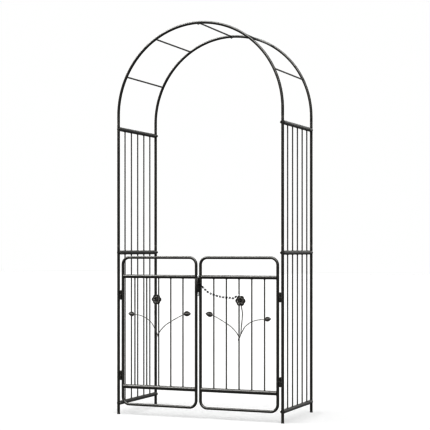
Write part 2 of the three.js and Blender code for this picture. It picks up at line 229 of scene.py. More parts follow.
def line(a, b, *marks):
    """Points from a to b with extra ones at the given distances from both ends."""
    a, b = np.asarray(a, float), np.asarray(b, float)
    length = np.linalg.norm(b - a)
    at = sorted({0.0, length, *[m for m in marks if m < length / 2], *[length - m for m in marks if m < length / 2]})
    return np.array([a + (b - a) * s / length for s in at]), np.array(at)


def straight(shape, a, b, radius, sides=24, chamfer=0.5, rub=(5.0, 12.0), worn=0.7, ripple=60.0):
    """A straight tube with broken edges at both ends, the coat thinner there."""
    length = float(np.linalg.norm(np.asarray(b, float) - np.asarray(a, float)))
    marks = [chamfer, rub[0], rub[1]]
    path, at = line(a, b, *marks)
    end = np.minimum(at, length - at)
    radii = np.where(end < chamfer * 0.5, radius - chamfer, radius)
    wear = worn * np.clip(1 - end / rub[0], 0, 1)
    return shape.tube(path, radii, sides, wear=wear)


def bead(shape, points, size=1.3, closed=False, seed=1, sides=8, pitch=1.7):
    """A weld bead: a lumpy fillet along points, each lump a freeze of the pool."""
    rnd = random.Random(seed)
    pts = np.asarray(points, float)
    ring = np.concatenate([pts, pts[:1]]) if closed else pts
    seg = np.linalg.norm(np.diff(ring, axis=0), axis=1)
    at = np.concatenate([[0], np.cumsum(seg)])
    n = max(6, int(at[-1] / (pitch / 2.5)))
    s = np.linspace(0, at[-1], n + 1)[: n if closed else n + 1]
    path = np.stack([np.interp(s, at, ring[:, k]) for k in range(3)], 1)
    lumps = 0.86 + 0.14 * np.abs(np.sin(math.pi * s / pitch + rnd.random()))
    drift = 1 + 0.10 * np.sin(s * 0.31 + rnd.random() * 6) + 0.05 * np.sin(s * 1.13 + rnd.random() * 6)
    radius = size * lumps * drift
    if not closed:
        radius[0] *= 0.55
        radius[-1] *= 0.55
    return shape.tube(path, radius, sides, closed=closed, wear=np.full(len(path), 0.12))


def circle(centre, normal, radius, n=24, start=0.0, sweep=2 * math.pi):
    u, v = basis(normal)
    full = abs(sweep - 2 * math.pi) < 1e-6
    a = start + np.linspace(0, sweep, n, endpoint=not full)
    return np.asarray(centre, float) + radius * (np.cos(a)[:, None] * u + np.sin(a)[:, None] * v)


def crossing(axis_a, r_a, centre, axis_b, r_b, side, n=28, grow=0.0, span=None):
    """Where a tube of radius r_b, along axis_b and ending on a tube of radius r_a along axis_a through centre, meets it: points round the end of b, on the side of a that faces along side * axis_b."""
    a, b = unit(axis_a), unit(axis_b)
    c = np.cross(a, b)
    t = np.linspace(0, 2 * math.pi, n, endpoint=False) if span is None else np.linspace(span[0], span[1], n)
    ca, cc = (r_b + grow) * np.cos(t), (r_b + grow) * np.sin(t)
    off = np.sqrt(np.maximum(r_a**2 - cc**2, 0.0))
    return np.asarray(centre, float) + ca[:, None] * a + cc[:, None] * c + side * off[:, None] * b


# ---------------------------------------------------------------- materials
def new_material(name):
    m = bpy.data.materials.new(name)
    m.use_nodes = True
    tree = m.node_tree
    tree.nodes.clear()
    out = tree.nodes.new("ShaderNodeOutputMaterial")
    shader = tree.nodes.new("ShaderNodeBsdfPrincipled")
    tree.links.new(shader.outputs["BSDF"], out.inputs["Surface"])
    return m, tree, shader


def noise(tree, coords, scale, detail=3.0, rough=0.5, stretch=None):
    if stretch is not None:
        mapping = tree.nodes.new("ShaderNodeMapping")
        mapping.inputs["Scale"].default_value = stretch
        tree.links.new(coords, mapping.inputs["Vector"])
        coords = mapping.outputs["Vector"]
    n = tree.nodes.new("ShaderNodeTexNoise")
    n.inputs["Scale"].default_value = scale
    n.inputs["Detail"].default_value = detail
    n.inputs["Roughness"].default_value = rough
    tree.links.new(coords, n.inputs["Vector"])
    return n.outputs["Fac"]


def remap(tree, value, low, high, to_low, to_high):
    m = tree.nodes.new("ShaderNodeMapRange")
    m.inputs["From Min"].default_value = low
    m.inputs["From Max"].default_value = high
    m.inputs["To Min"].default_value = to_low
    m.inputs["To Max"].default_value = to_high
    tree.links.new(value, m.inputs["Value"])
    return m.outputs["Result"]


def maths(tree, kind, a, b):
    m = tree.nodes.new("ShaderNodeMath")
    m.operation = kind
    m.use_clamp = kind in ("MULTIPLY", "ADD", "SUBTRACT")
    for i, x in enumerate((a, b)):
        if isinstance(x, (int, float)):
            m.inputs[i].default_value = x
        else:
            tree.links.new(x, m.inputs[i])
    return m.outputs[0]


def mix(tree, share, a, b):
    m = tree.nodes.new("ShaderNodeMix")
    m.data_type = "RGBA"
    tree.links.new(share, m.inputs[0])
    for i, x in ((6, a), (7, b)):
        if isinstance(x, tuple):
            m.inputs[i].default_value = (*x, 1.0)
        else:
            tree.links.new(x, m.inputs[i])
    return m.outputs[2]


def bump(tree, shader, height, strength, distance):
    b = tree.nodes.new("ShaderNodeBump")
    b.inputs["Strength"].default_value = strength
    b.inputs["Distance"].default_value = distance
    tree.links.new(height, b.inputs["Height"])
    tree.links.new(b.outputs["Normal"], shader.inputs["Normal"])


def coords_of(tree):
    return tree.nodes.new("ShaderNodeTexCoord").outputs["Object"]


def wear_of(tree):
    a = tree.nodes.new("ShaderNodeAttribute")
    a.attribute_type = "GEOMETRY"
    a.attribute_name = "wear"
    return a.outputs["Fac"]


def coated(name, dark, light, rubbed, rough=(0.27, 0.4), grain=1.0, wear_gain=1.0, spread=(0.42, 0.66), ior=1.5):
    """Baked powder coat: orange peel, faint dust and colour drift, lighter where the rub value says: rubbed coat, on
    the pressed leaves a painted highlight along the raised middle, and less of it on the rose's left rims, a painted
    shade.
    """
    m, tree, shader = new_material(name)
    at = coords_of(tree)
    drift = noise(tree, at, 9.0, 4.0, 0.6)
    cloud = noise(tree, at, 60.0, 4.0, 0.65)
    peel = noise(tree, at, 900.0, 2.0, 0.5)
    grit = noise(tree, at, 3600.0, 2.0, 0.6)
    base = mix(tree, remap(tree, drift, 0.3, 0.7, 0.0, 1.0), dark, light)
    dust = maths(tree, "MULTIPLY", remap(tree, cloud, 0.56, 0.78, 0.0, 0.55), remap(tree, grit, 0.4, 0.7, 0.3, 1.0))
    base = mix(tree, dust, base, tuple(min(1.0, 1.9 * c + 0.006) for c in light))
    spots = remap(tree, noise(tree, at, 420.0, 3.0, 0.7), spread[0], spread[1], 0.0, 1.0)
    worn = maths(tree, "MULTIPLY", maths(tree, "MULTIPLY", wear_of(tree), spots), wear_gain)
    base = mix(tree, worn, base, rubbed)
    tree.links.new(base, shader.inputs["Base Color"])
    roughness = remap(tree, cloud, 0.3, 0.7, rough[0], rough[1])
    tree.links.new(roughness, shader.inputs["Roughness"])
    shader.inputs["Metallic"].default_value = 0.0
    shader.inputs["IOR"].default_value = ior
    height = maths(tree, "ADD", remap(tree, peel, 0.2, 0.8, 0.0, 0.7), remap(tree, grit, 0.2, 0.8, 0.0, 0.3))
    bump(tree, shader, height, 0.32 * grain, 0.0006)
    return m


def plated(name, dark, light, rough=(0.28, 0.46), stretch=(1.0, 1.0, 0.06), grime=(0.09, 0.085, 0.08), metallic=1.0):
    """Zinc plating: fine drawn lines, cloudy patches, grime in scattered patches, and darker where the rub value says:
    grease on the crown bolts, painted shade on the drop pin where the sleeve hides it.
    """
    m, tree, shader = new_material(name)
    at = coords_of(tree)
    cloud = noise(tree, at, 85.0, 5.0, 0.62)
    lines = noise(tree, at, 2600.0, 2.0, 0.5, stretch)
    base = mix(tree, remap(tree, cloud, 0.32, 0.68, 0.0, 1.0), dark, light)
    dirt = remap(tree, noise(tree, at, 260.0, 4.0, 0.7), 0.55, 0.75, 0.0, 0.7)
    base = mix(tree, dirt, base, grime)
    grease_and_shade = maths(tree, "MULTIPLY", wear_of(tree), remap(tree, noise(tree, at, 190.0, 3.0, 0.6), 0.3, 0.6, 0.75, 1.0))
    base = mix(tree, grease_and_shade, base, (0.045, 0.042, 0.04))
    tree.links.new(base, shader.inputs["Base Color"])
    tree.links.new(remap(tree, lines, 0.25, 0.75, rough[0], rough[1]), shader.inputs["Roughness"])
    shader.inputs["Metallic"].default_value = metallic
    bump(tree, shader, lines, 0.22, 0.0002)
    return m


def moulded(name, dark, light):
    """Black polyethylene: fine spark texture, scuffed at the foot."""
    m, tree, shader = new_material(name)
    at = coords_of(tree)
    grain = noise(tree, at, 2400.0, 3.0, 0.7)
    cloud = noise(tree, at, 140.0, 4.0, 0.6)
    base = mix(tree, remap(tree, cloud, 0.3, 0.7, 0.0, 1.0), dark, light)
    scuff = maths(tree, "MULTIPLY", wear_of(tree), remap(tree, noise(tree, at, 700.0, 3.0, 0.7), 0.45, 0.65, 0.0, 1.0))
    base = mix(tree, scuff, base, (0.14, 0.135, 0.125))
    tree.links.new(base, shader.inputs["Base Color"])
    tree.links.new(remap(tree, grain, 0.3, 0.7, 0.5, 0.68), shader.inputs["Roughness"])
    bump(tree, shader, grain, 0.4, 0.0003)
    return m


BLACK = coated("black_coat", (0.0166, 0.0163, 0.0150), (0.0258, 0.0252, 0.0230), (0.12, 0.116, 0.106))
# A darker, rougher copy of the black coat: painted shade for the weld beads where parts meet, and for the latch sleeve
# and keeper, so that no reflection shows on their flat plates.
SHADE_PAINTED_COAT = coated("shade_painted_coat", (0.0125, 0.0123, 0.0115), (0.021, 0.0206, 0.0192), (0.055, 0.053, 0.049), rough=(0.42, 0.56), grain=1.4)
LEAF = coated("ornament_metal", (0.0182, 0.0177, 0.0168), (0.0302, 0.0293, 0.0278), (0.15, 0.145, 0.138), rough=(0.48, 0.62), grain=1.3, spread=(0.28, 0.5), ior=1.38)
ZINC = plated("zinc_plate", (0.34, 0.345, 0.35), (0.48, 0.485, 0.48), rough=(0.48, 0.6))
# One chain finish in two copies, dark and light: painted shade for links seen face-on and painted light for links seen
# edge-on. The pin's stud and eye take the dark copy, the tie ring the light one.
CHAIN_PAINTED_SHADE = plated("chain_painted_shade", (0.006, 0.006, 0.0065), (0.014, 0.014, 0.015), rough=(0.40, 0.56), stretch=(1, 1, 1), grime=(0.007, 0.0068, 0.0066))
CHAIN_PAINTED_LIGHT = plated("chain_painted_light", (0.24, 0.24, 0.243), (0.38, 0.38, 0.385), rough=(0.36, 0.54), stretch=(1, 1, 1), grime=(0.15, 0.148, 0.143))
PLASTIC = moulded("foot_plastic", (0.010, 0.010, 0.011), (0.016, 0.016, 0.017))


# ---------------------------------------------------------------- fixings
def hex_ring(centre, axis, across, z, turn=0.0, grow=1.0):
    """Six-sided ring with three points on each flat, so that the head can be chamfered."""
    u, v = basis(axis)
    out = []
    r = across / math.sqrt(3) * grow
    corners = [(r * math.cos(turn + k * math.pi / 3), r * math.sin(turn + k * math.pi / 3)) for k in range(6)]
    for k in range(6):
        (x0, y0), (x1, y1) = corners[k], corners[(k + 1) % 6]
        for s in (0.0, 1 / 3, 2 / 3):
            x, y = x0 + (x1 - x0) * s, y0 + (y1 - y0) * s
            out.append((x, y))
    return np.array([np.asarray(centre, float) + x * u + y * v + z * unit(axis) for x, y in out])


def hex_head(shape, at, axis, across=9.0, high=3.6, turn=0.2, base=0.0, wear=0.6):
    """A hexagon head with its corners turned off towards the top."""
    rings = [hex_ring(at, axis, across, base, turn), hex_ring(at, axis, across, base + high * 0.72, turn)]
    top = hex_ring(at, axis, across, base + high, turn)
    middle = np.asarray(at, float) + unit(axis) * (base + high)
    out = []
    for p in top:
        d = p - middle
        n = np.linalg.norm(d)
        out.append(middle + d / n * min(n, across * 0.47))
    rings.append(np.array(out))
    return shape.rings(rings, [0.1, wear, wear])


def washer(shape, at, axis, outer, thick, base=0.0, wear=0.3):
    c = 0.2
    return shape.lathe(
        [(0, base), (outer - c, base), (outer, base + c), (outer, base + thick - c), (outer - c, base + thick), (0, base + thick)],
        at,
        axis,
        28,
        wear=[wear * 0.3, wear * 0.3, wear, wear, wear, wear * 0.3],
    )


def dome_nut(shape, at, axis, across=9.0, base=0.0, high=2.4, dome=3.0, turn=0.4):
    hex_head(shape, at, axis, across, high, turn, base)
    r = across * 0.40
    steps = [(r * math.cos(t), base + high + dome * math.sin(t)) for t in np.linspace(0, math.pi / 2, 7)]
    steps[-1] = (0, steps[-1][1])
    return shape.lathe([(0, base + high * 0.5), (r, base + high * 0.5), *steps], at, axis, 24, wear=[0.1, 0.1, *np.linspace(0.2, 0.6, 7)])


def pan_screw(shape, at, axis, r=4.0, high=2.2, turn=0.3):
    """A pan head with a cross recess cut as two sunk channels."""
    u, v = basis(axis)
    d = unit(axis)
    seg = 32
    a = np.arange(seg) * 2 * math.pi / seg
    rings, wear = [], []
    for rr, hh, w in (
        (r, 0.0, 0.1),
        (r, high * 0.45, 0.4),
        (r * 0.93, high * 0.72, 0.5),
        (r * 0.78, high * 0.9, 0.5),
        (r * 0.58, high * 0.97, 0.5),
        (r * 0.50, high, 0.5),
        (r * 0.36, high, 0.4),
        (r * 0.2, high, 0.3),
    ):
        ring = []
        for t in a:
            x, y = rr * math.cos(t), rr * math.sin(t)
            c, s = math.cos(turn), math.sin(turn)
            p, q = c * x + s * y, -s * x + c * y
            arm = min(abs(p), abs(q)) < r * 0.13 and max(abs(p), abs(q)) < r * 0.55
            ring.append(np.asarray(at, float) + x * u + y * v + (hh - (high * 0.55 if arm else 0)) * d)
        rings.append(ring)
        wear.append(w)
    return shape.rings(rings, wear)


# ---------------------------------------------------------------- foot caps and posts
def foot_cap(x, y):
    """A plug pressed into the tube, with a low flange that carries the post."""
    s = Shape()
    s.lathe(
        [(0, 0.5), (5.4, 0.5), (5.9, 0), (7.2, 0), (7.75, 0.35), (7.9, 1.0), (7.9, 2.6), (7.9, 4.0), (7.7, 4.8), (7.2, 5.3), (6.9, 5.5), (5.4, 5.5), (5.4, 14), (5.4, 22.5), (4.4, 24), (0, 24)],
        (x, y, 0),
        seg=48,
        wear=[0.9, 0.9, 1, 1, 1, 0.7, 0.35, 0.2, 0.3, 0.3, 0.1, 0, 0, 0, 0, 0],
    )
    # moulded grip ribs round the flange
    for k in range(16):
        t = 2 * math.pi * (k + 0.5) / 16
        d = vec(math.cos(t), math.sin(t), 0)
        c = vec(x, y, 0)
        s.tube([c + d * 7.75 + vec(0, 0, 0.9), c + d * 7.78 + vec(0, 0, 2.6), c + d * 7.7 + vec(0, 0, 4.2)], [0.3, 0.34, 0.26], 6, wear=[0.8, 0.4, 0.2])
    return s


for end, ey in ENDS:
    y = ey * PLANE_Y
    for side, sx in SIDES:
        x = sx * POST_X
        foot_cap(x, y).build(f"foot_{end}_{side}", "arch", PLASTIC, [f"foot_cap_{end}_{side}"], "foot_plastic")

        lower = Shape()
        lower.lathe(
            [(0, 24.4), (5.7, 24.4), (5.7, 5.9), (6.5, 5.7), (7, 6.2), (7, 20), (7, 300), (7, 640), (7, 940), (7, 951), (7, SPLIT_Z - 0.7), (6.3, SPLIT_Z), (SPIGOT_R, SPLIT_Z), (SPIGOT_R, SPLIT_Z + 26), (5.2, SPLIT_Z + 28), (0, SPLIT_Z + 28)],
            (x, y, 0),
            seg=32,
            wear=[0, 0, 0, 0.3, 0.3, 0, 0, 0, 0, 0.25, 0.8, 0.6, 0.2, 0, 0, 0],
        )
        lower.build(f"leg_lower_{end}_{side}", "arch", BLACK, [f"post_lower_{end}_{side}"])

        upper = Shape()
        z0 = SPLIT_Z + 0.5
        upper.lathe(
            [(0, z0 + 0.1), (6.0, z0 + 0.1), (6.4, z0), (7, z0 + 0.7), (7, z0 + 5), (7, z0 + 14), (7, 1200), (7, 1440), (7, LEG_Z - 12), (7, LEG_Z - 5), (7, LEG_Z - 0.7), (6.3, LEG_Z), (SPIGOT_R, LEG_Z), (SPIGOT_R, LEG_Z + 26), (0, LEG_Z + 28)],
            (x, y, 0),
            seg=32,
            wear=[0, 0, 0.5, 0.8, 0.3, 0, 0, 0, 0, 0.3, 0.8, 0.6, 0.2, 0, 0],
        )
        upper.build(f"leg_upper_{end}_{side}", "arch", BLACK, [f"post_upper_{end}_{side}"])

        # Screws that hold the post joints, on the side that faces the other hoop.
        pins = Shape()
        for z in (SPLIT_Z + 15, LEG_Z + 15):
            pan_screw(pins, (x, y - ey * (POST_R - 0.35), z), (0, -ey, 0), 3.6, 2.0, turn=0.3 + z)
        pins.build(f"joint_screws_{end}_{side}", "arch", BLACK)


# ---------------------------------------------------------------- crown
def on_hoop(a, y, r=POST_X):
    a = math.radians(a)
    return vec(r * math.sin(a), y, SPRING_Z + r * math.cos(a))


for end, ey in ENDS:
    y = ey * PLANE_Y
    for side, sx in SIDES:
        seam = 1.62
        stop = -seam if sx < 0 else -seam + 0.06
        angles = list(np.arange(90, 6, -2.0)) + [6, 4, 2, 0.6]
        path = [vec(sx * POST_X, y, z) for z in (LEG_Z + 0.5, LEG_Z + 1.2, LEG_Z + 6, LEG_Z + 16, LEG_Z + 34)]
        if sx > 0:
            path += [on_hoop(a, y) for a in angles] + [on_hoop(a, y) for a in (0.0, -0.8, -1.35, stop + 0.06, stop)]
        else:
            path += [on_hoop(-a, y) for a in angles if a > 4] + [on_hoop(a, y) for a in (-4, -2.6, -1.95, -seam - 0.08, -seam)]
        path = np.array(path)
        n = len(path)
        radius = np.full(n, POST_R)
        radius[0] = radius[-1] = POST_R - 0.7
        wear = np.zeros(n)
        wear[:3] = (0.6, 0.8, 0.3)
        wear[-3:] = (0.3, 0.8, 0.6)
        s = Shape().tube(path, radius, 32, wear=wear)
        if sx < 0:
            s.tube([on_hoop(a, y) for a in (-seam - 0.6, -seam, 0, seam)], SPIGOT_R, 24)
        s.build(f"hoop_{end}_{side}", "arch", BLACK, [f"crown_arc_{end}_{side}"])

    # Bolt up through the seam: washer and hexagon head under the hoop, a plug on top.
    bolt = Shape()
    washer(bolt, (0, y, HEIGHT - 14.1), (0, 0, -1), 5.6, 0.9)
    hex_head(bolt, (0, y, HEIGHT - 14.1), (0, 0, -1), 8.6, 3.5, turn=0.5, base=0.8)
    bolt.lathe(
        [(0, 0), (3.0, 0), (3.0, 0.7), (2.7, 1.0), (1.5, 1.25), (0, 1.3)], (0, y, HEIGHT - 1.3), (0, 0, 1), 24,
        wear=[0, 0.2, 0.5, 0.6, 0.6, 0.6],
    )
    bolt.build(f"crown_bolt_{end}", "arch", ZINC, [f"apex_bolt_{end}"], "zinc_plate")

for i, a in enumerate(RUNG_ANGLES):
    c = on_hoop(a, 0.0)
    s = Shape()
    straight(s, (c[0], -PLANE_Y + POST_R - 1.5, c[2]), (c[0], PLANE_Y - POST_R + 1.5, c[2]), RUNG_R, 24, 0.3, worn=0.2)
    s.build(f"rung_{i + 1}", "arch", BLACK, [f"crown_rung_{i + 1}"])
    w = Shape()
    tangent = vec(math.cos(math.radians(a)), 0, -math.sin(math.radians(a)))
    for k, ey in enumerate((-1, 1)):
        pts = crossing(tangent, POST_R, (c[0], ey * PLANE_Y, c[2]), (0, 1, 0), RUNG_R, -ey, 26, grow=0.4)
        bead(w, pts, 1.25, closed=True, seed=40 + 2 * i + k)
    w.build(f"rung_welds_{i + 1}", "arch", BLACK)


# ---------------------------------------------------------------- side panels
def tab(shape, sx, z, ey):
    """Round-ended tab on the passage side of a rail's end."""
    x_out, x_in = sx * (POST_X - POST_R - 0.3), sx * (POST_X - POST_R - 2.8)
    y_far, y_near = ey * PLANE_Y, ey * (PLANE_Y - POST_R - 16.3)
    outline = []
    for t in np.linspace(-math.pi / 2, math.pi / 2, 15):
        outline.append((y_far + ey * 7 * math.cos(t), z + 7 * math.sin(t)))
    outline += [(y_near, z + 7), (y_near - ey * 3.0, z + 4.2), (y_near - ey * 3.0, z - 4.2), (y_near, z - 7)]
    outline = np.array(outline)
    mid = outline.mean(0)
    order = 1 if (sx * ey) > 0 else -1
    rings, wear = [], []
    for depth, inset in ((0.0, 0.35), (0.35, 0.0), (2.15, 0.0), (2.5, 0.35)):
        x = x_out + (x_in - x_out) * depth / 2.5
        pts = []
        for p in outline[::order]:
            d = p - mid
            q = p - d / np.linalg.norm(d) * inset
            pts.append((x, q[0], q[1]))
        rings.append(pts)
        wear.append(0.6)
    rings = np.array(rings)
    # keep the skin facing out whichever way the outline runs
    n = np.cross(rings[0][1] - rings[0][0], rings[0][2] - rings[0][1])
    toward = rings[-1].mean(0) - rings[0].mean(0)
    if np.dot(np.cross(rings[0][0] - rings[0].mean(0), rings[0][1] - rings[0].mean(0)), toward) < 0:
        rings = rings[:, ::-1]
    return shape.rings(rings, wear)


for side, sx in SIDES:
    x = sx * POST_X
    for level, rails, z_low, z_high in (
        ("lower", (SIDE_RAILS["bottom"], SIDE_RAILS["mid"]), SIDE_RAILS["bottom"], SIDE_RAILS["mid"]),
        ("upper", (SIDE_RAILS["top"],), SIDE_RAILS["mid"] + SIDE_RAIL_R - 0.6, SIDE_RAILS["top"]),
    ):
        s = Shape()
        w = Shape()
        for z in rails:
            straight(s, (x, -PLANE_Y + POST_R * 0.35, z), (x, PLANE_Y - POST_R * 0.35, z), SIDE_RAIL_R, 36, 0.6, worn=0.5)
            for ey in (-1, 1):
                tab(s, sx, z, ey)
                # the rail's end is closed by a bead drawn up round the tab
                bead(w, [(sx * (POST_X - 9.7), ey * (PLANE_Y - 24.5), z + dz) for dz in np.linspace(-4.5, 4.5, 7)], 1.1, seed=int(z) + int(ey))
        for k, by in enumerate(SIDE_BARS):
            straight(s, (x, by, z_low), (x, by, z_high), BAR_R, 20, 0.2, worn=0.0)
            if level == "lower":
                for z, up in ((SIDE_RAILS["bottom"], 1), (SIDE_RAILS["mid"], -1)):
                    pts = crossing((0, 1, 0), SIDE_RAIL_R, (x, by, z), (0, 0, 1), BAR_R, up, 22, grow=0.75)
                    bead(w, pts, 1.8, closed=True, seed=100 + 7 * k + int(z))
            else:
                pts = crossing((0, 1, 0), SIDE_RAIL_R, (x, by, SIDE_RAILS["top"]), (0, 0, 1), BAR_R, -1, 22, grow=0.55)
                bead(w, pts, 1.35, closed=True, seed=170 + k)
                # the upper bars stand in a small collar on the middle rail
                w.lathe([(0, 10.1), (4.6, 10.1), (4.6, 11.3), (4.1, 12.7), (3.3, 13.3), (0, 13.3)], (x, by, SIDE_RAILS["mid"]), seg=24, wear=[0, 0.2, 0.4, 0.3, 0.2, 0])
        s.build(f"panel_{level}_{side}", "arch", BLACK, [f"side_panel_{level}_{side}"])
        # The beads take the darker copy of the coat: painted shade where bars meet rails.
        w.build(f"panel_welds_{level}_{side}", "arch", SHADE_PAINTED_COAT)

    # Bolts through the tabs and posts: heads in the passage, flat nuts outside.
    b = Shape()
    for z in SIDE_RAILS.values():
        for ey in (-1, 1):
            face = (sx * (POST_X - POST_R - 2.8), ey * PLANE_Y, z)
            washer(b, face, (-sx, 0, 0), 5.0, 0.8)
            hex_head(b, face, (-sx, 0, 0), 7.8, 2.8, turn=0.1 + z * 0.37 + ey, base=0.7)
            dome_nut(b, (sx * (POST_X + POST_R - 0.5), ey * PLANE_Y, z), (sx, 0, 0), 7.0, base=0.0, high=1.3, dome=1.0, turn=z)
    b.build(f"panel_bolts_{side}", "arch", BLACK)


# ---------------------------------------------------------------- hinges
for side, sx in SIDES:
    for level, z0 in HINGES.items():
        x, y, mid = sx * HINGE_X, -PLANE_Y, z0 + HINGE_H / 2
        s = Shape()
        s.lathe(
            [(0, z0), (5.4, z0), (6, z0 + 0.6), (6, z0 + 8), (6, mid - 4), (6, mid - 0.9), (5.5, mid - 0.3), (3.0, mid - 0.3), (3.0, z0 + HINGE_H - 7), (2.0, z0 + HINGE_H - 5), (0, z0 + HINGE_H - 4.8)],
            (x, y, 0), seg=32, wear=[0.3, 0.5, 0.6, 0, 0, 0.7, 1, 0.6, 0.6, 0.3, 0.3],
        )
        s.box((x + sx * 3.6, y - 3, z0 + 3), (sx * (POST_X - 5.6), y + 3, mid - 4), 0.5)
        for dy in (-1, 1):
            bead(s, [(sx * (POST_X - POST_R + 0.55), y + dy * 3.3, z) for z in np.linspace(z0 + 3.4, mid - 4.4, 12)], 1.35, seed=int(z0) + dy)
            bead(s, [(x + sx * 5.2, y + dy * 3.2, z) for z in np.linspace(z0 + 3.4, mid - 4.4, 12)], 1.0, seed=int(z0) + 3 + dy)
        s.build(f"hinge_post_half_{level}_{side}", "arch", BLACK, [f"hinge_pintle_{level}_{side}"])

        k = Shape()
        k.lathe(
            [(0, z0 + HINGE_H - 4.3), (3.3, z0 + HINGE_H - 4.3), (3.4, mid + 0.6), (5.5, mid), (6, mid + 0.6), (6, mid + 5), (6, z0 + HINGE_H - 6), (6, z0 + HINGE_H - 1.6), (5.3, z0 + HINGE_H - 0.5), (3.4, z0 + HINGE_H), (0, z0 + HINGE_H)],
            (x, y, 0), seg=32, wear=[0, 0, 0.5, 1, 0.7, 0, 0, 0.5, 0.6, 0.4, 0.3],
        )
        k.box((x - sx * 3.7, y - 3, mid + 4), (sx * (STILE_OUT + 4.8), y + 3, z0 + HINGE_H - 3), 0.5)
        for dy in (-1, 1):
            bead(k, [(sx * (STILE_OUT + FRAME_R - 0.6), y + dy * 3.3, z) for z in np.linspace(mid + 4.4, z0 + HINGE_H - 3.4, 12)], 1.35, seed=int(z0) + 9 + dy)
            bead(k, [(x - sx * 5.2, y + dy * 3.2, z) for z in np.linspace(mid + 4.4, z0 + HINGE_H - 3.4, 12)], 1.0, seed=int(z0) + 12 + dy)
        k.build(f"hinge_leaf_half_{level}_{side}", f"gate_{side}", BLACK, [f"hinge_knuckle_{level}_{side}"])


# ---------------------------------------------------------------- gate leaves
for side, sx in SIDES:
    body = f"gate_{side}"
    y = -PLANE_Y
    loop = []
    for cx, cz, start in (
        (STILE_OUT - FRAME_CORNER, FRAME_TOP_Z - FRAME_CORNER, 0),
        (STILE_IN + FRAME_CORNER, FRAME_TOP_Z - FRAME_CORNER, 90),
        (STILE_IN + FRAME_CORNER, FRAME_BOTTOM_Z + FRAME_CORNER, 180),
        (STILE_OUT - FRAME_CORNER, FRAME_BOTTOM_Z + FRAME_CORNER, 270),
    ):
        for k in range(15):
            a = math.radians(start + 90 * k / 14)
            loop.append((sx * (cx + FRAME_CORNER * math.cos(a)), y, cz + FRAME_CORNER * math.sin(a)))
        # points along the straight run that follows, so that no span is overlong
        nxt = math.radians(start + 90)
        px, pz = cx + FRAME_CORNER * math.cos(nxt), cz + FRAME_CORNER * math.sin(nxt)
        run = (FRAME_TOP_Z - FRAME_BOTTOM_Z if start in (90, 270) else STILE_OUT - STILE_IN) - 2 * FRAME_CORNER
        for f in (0.25, 0.5, 0.75):
            loop.append((sx * (px - math.sin(nxt) * run * f), y, pz + math.cos(nxt) * run * f))
    loop = np.array(loop)
    s = Shape().tube(loop, FRAME_R, 32, closed=True)
    # the loop's ends meet in a dressed butt weld in the bottom run
    bead(s, circle((sx * 262, y, FRAME_BOTTOM_Z), (1, 0, 0), FRAME_R - 0.35, 30), 0.8, closed=True, seed=5)
    s.build(f"leaf_frame_{side}", body, BLACK, [f"gate_frame_{side}"])

    for name, z, rail_r in (("upper", RAIL_TOP_Z, RAIL_R), ("lower", RAIL_LOW_Z, LOW_R)):
        r = Shape()
        straight(r, (sx * (STILE_IN + 5.2), y, z), (sx * (STILE_OUT - 5.2), y, z), rail_r, 40, 0.7, worn=0.35)
        r.build(f"leaf_rail_{name}_{side}", body, BLACK, [f"gate_rail_{name}_{side}"])
        w = Shape()
        for stile, out in ((STILE_IN, 1), (STILE_OUT, -1)):
            for up in (1, -1):
                pts = []
                for q in np.linspace(-1, 1, 15):
                    dy = q * 5.0
                    dx = math.sqrt(max(FRAME_R**2 - dy**2, 0))
                    pts.append((sx * (stile + out * (dx + 0.3)), y + dy, z + up * math.sqrt(rail_r**2 - dy**2)))
                bead(w, pts, 1.5, seed=int(z) + up + int(stile))
            for front in (-1, 1):
                pts = [(sx * (stile + out * 4.7), y + front * (5.6 + 0.5 * (1 - (q / 8) ** 2)), z + q) for q in np.linspace(-7.6, 7.6, 13)]
                bead(w, pts, 1.4, seed=int(z) + 5 + front + int(stile))
        for k, b in enumerate(BALUSTERS):
            up = -1 if name == "upper" else 1
            pts = crossing((1, 0, 0), rail_r, (sx * b, y, z), (0, 0, 1), BAR_R, up, 22, grow=0.75)
            bead(w, pts, 1.8, closed=True, seed=int(z) + 20 + k)
        # The beads take the darker copy of the coat: painted shade where bars meet rails.
        w.build(f"leaf_welds_{name}_{side}", body, SHADE_PAINTED_COAT)

    for k, b in enumerate(BALUSTERS):
        s = Shape()
        straight(s, (sx * b, y, RAIL_LOW_Z + LOW_R - 5), (sx * b, y, RAIL_TOP_Z - RAIL_R + 5), BAR_R, 24, 0.3, worn=0.0)
        s.build(f"leaf_bar_{side}_{k + 1}", body, BLACK, [f"baluster_{side}_{k + 1}"])


